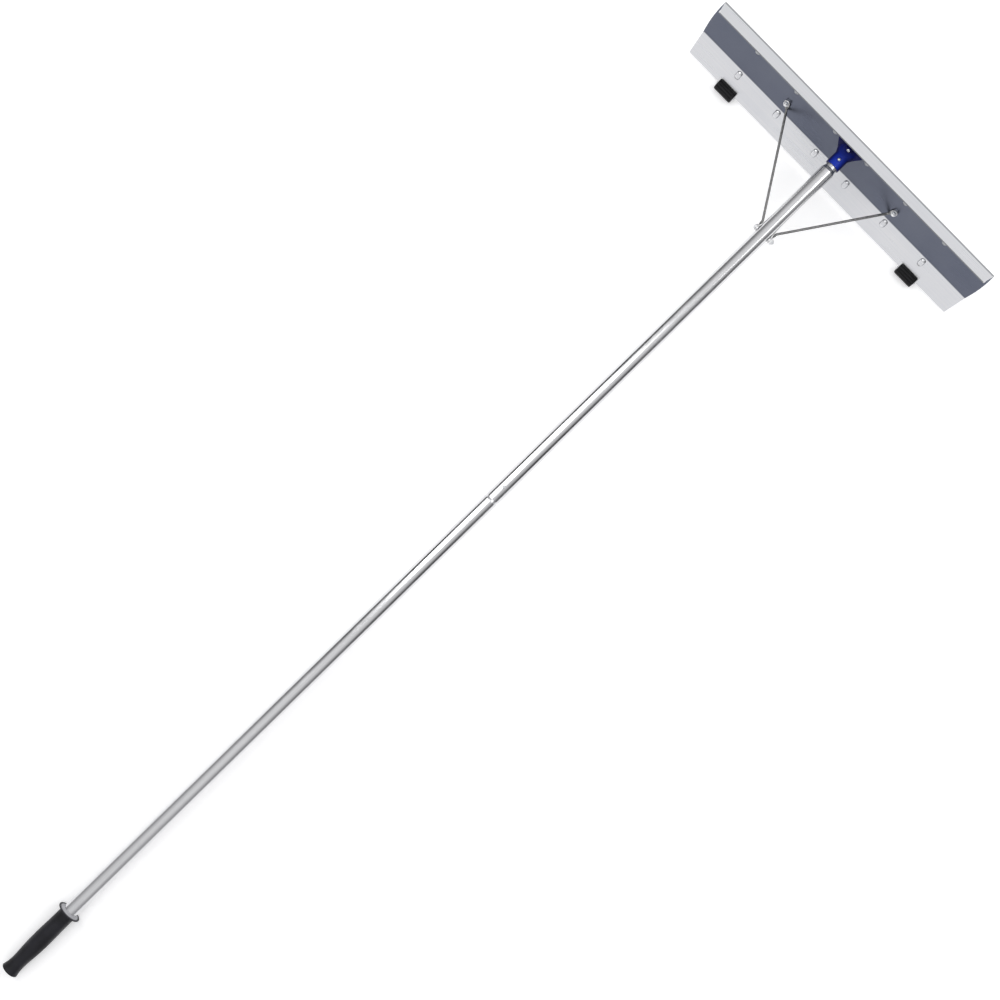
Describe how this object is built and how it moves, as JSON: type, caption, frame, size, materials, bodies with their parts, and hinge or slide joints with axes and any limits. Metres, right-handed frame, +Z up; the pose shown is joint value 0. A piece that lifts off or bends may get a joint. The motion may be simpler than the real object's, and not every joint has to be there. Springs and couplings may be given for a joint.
{
  "type": "snow roof rake",
  "caption": "Snow roof rake: wide folded aluminium blade on rollers, blue plastic hub, V brace rods, plug-together tube pole and black hand grip.",
  "frame": {"origin": "on the floor, at the bottom centre of the bounding box of the tool as it lies on its rollers and grip rim", "axes": "+X along the blade to the user's right, +Y from the grip to the blade, +Z up from the floor"},
  "size_m": [0.615, 1.917, 0.1285],
  "materials": {
    "aluminium_sheet": "mill, satin",
    "aluminium_tube": "drawn, bright",
    "rivet_aluminium": "satin",
    "blue_plastic": "moulded, satin",
    "black_plastic": "moulded, satin",
    "black_vinyl": "soft vinyl, satin",
    "zinc_steel": "zinc plated",
    "spring_steel": "spring temper, bare",
    "rod_steel": "zinc plated, dull"
  },
  "bodies": {
    "rake": {"blade": "aluminium_sheet", "hub": "blue_plastic", "hub_bolts": "zinc_steel", "hub_nuts": "zinc_steel", "upper_pole": "aluminium_tube", "lower_pole": "aluminium_tube", "joint_button_spring": "spring_steel", "head_button_spring": "spring_steel", "grip": "black_vinyl", "brace_left": "rod_steel", "brace_right": "rod_steel", "brace_pole_bolt": "zinc_steel", "brace_pole_nut": "zinc_steel", "brace_pole_washers": "zinc_steel", "brace_blade_bolts": "zinc_steel", "brace_blade_washers": "zinc_steel", "brace_blade_nuts": "zinc_steel", "roller_axle_left": "zinc_steel", "roller_axle_right": "zinc_steel", "roller_bracket_left": "zinc_steel", "roller_bracket_right": "zinc_steel", "bracket_rivets": "rivet_aluminium"},
    "left_roller": {"roller_left": "black_plastic"},
    "right_roller": {"roller_right": "black_plastic"},
    "joint_stud": {"joint_button": "zinc_steel"},
    "head_stud": {"head_button": "zinc_steel"}
  },
  "joints": [
    {"name": "roller_left_spin", "type": "hinge", "parent": "rake", "child": "left_roller", "pos_m": [-0.213, 0.88868, 0.0105], "axis": [1, 0, 0], "continuous": true},
    {"name": "roller_right_spin", "type": "hinge", "parent": "rake", "child": "right_roller", "pos_m": [0.213, 0.88868, 0.0105], "axis": [1, 0, 0], "continuous": true},
    {"name": "joint_button_press", "type": "slide", "parent": "rake", "child": "joint_stud", "axis": [0, 0.0344, -0.9994], "range_m": [0, 0.0035], "stiffness_N_per_m": 900, "springref_m": -0.002, "deforming": ["joint_button_spring"]},
    {"name": "head_button_press", "type": "slide", "parent": "rake", "child": "head_stud", "axis": [0, 0.0344, -0.9994], "range_m": [0, 0.005], "stiffness_N_per_m": 900, "springref_m": -0.002, "deforming": ["head_button_spring"]}
  ]
}
